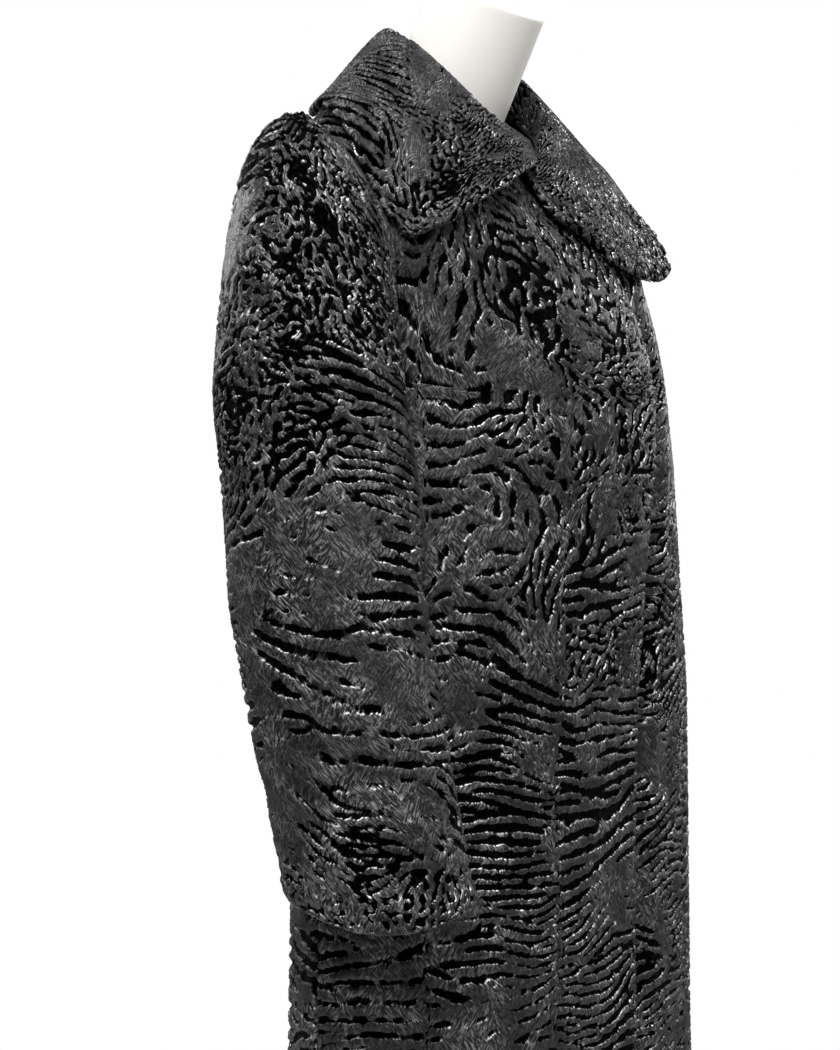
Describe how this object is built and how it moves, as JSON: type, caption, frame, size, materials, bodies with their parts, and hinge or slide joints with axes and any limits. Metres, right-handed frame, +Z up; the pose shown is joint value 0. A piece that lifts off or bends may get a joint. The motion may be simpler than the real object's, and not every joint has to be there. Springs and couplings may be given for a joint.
{
  "type": "fur coat on a dress form",
  "caption": "Closed black curly-lamb fur coat with a wide spread collar and set-in sleeves, standing on a limbless dress form with a pole and a round foot.",
  "frame": {"origin": "middle of the underside of the round foot, on the floor", "axes": "+Z up, -Y towards the coat's front, +X towards the wearer's left"},
  "size_m": [0.6112, 0.35, 1.4717],
  "materials": {
    "fur": "glossy flat-curled lamb fur",
    "wire": "plated wire",
    "form_cloth": "smooth off-white jersey",
    "stand_paint": "satin off-white paint"
  },
  "bodies": {
    "root": {"back": "fur", "front_right": "fur", "front_left": "fur", "sleeve_right": "fur", "sleeve_left": "fur", "collar_right": "fur", "collar_left": "fur", "hook_1": "wire", "hook_2": "wire", "hook_3": "wire", "hook_4": "wire", "eye_1": "wire", "eye_2": "wire", "eye_3": "wire", "eye_4": "wire", "form": "form_cloth", "pole": "stand_paint", "base": "stand_paint"}
  },
  "joints": []
}
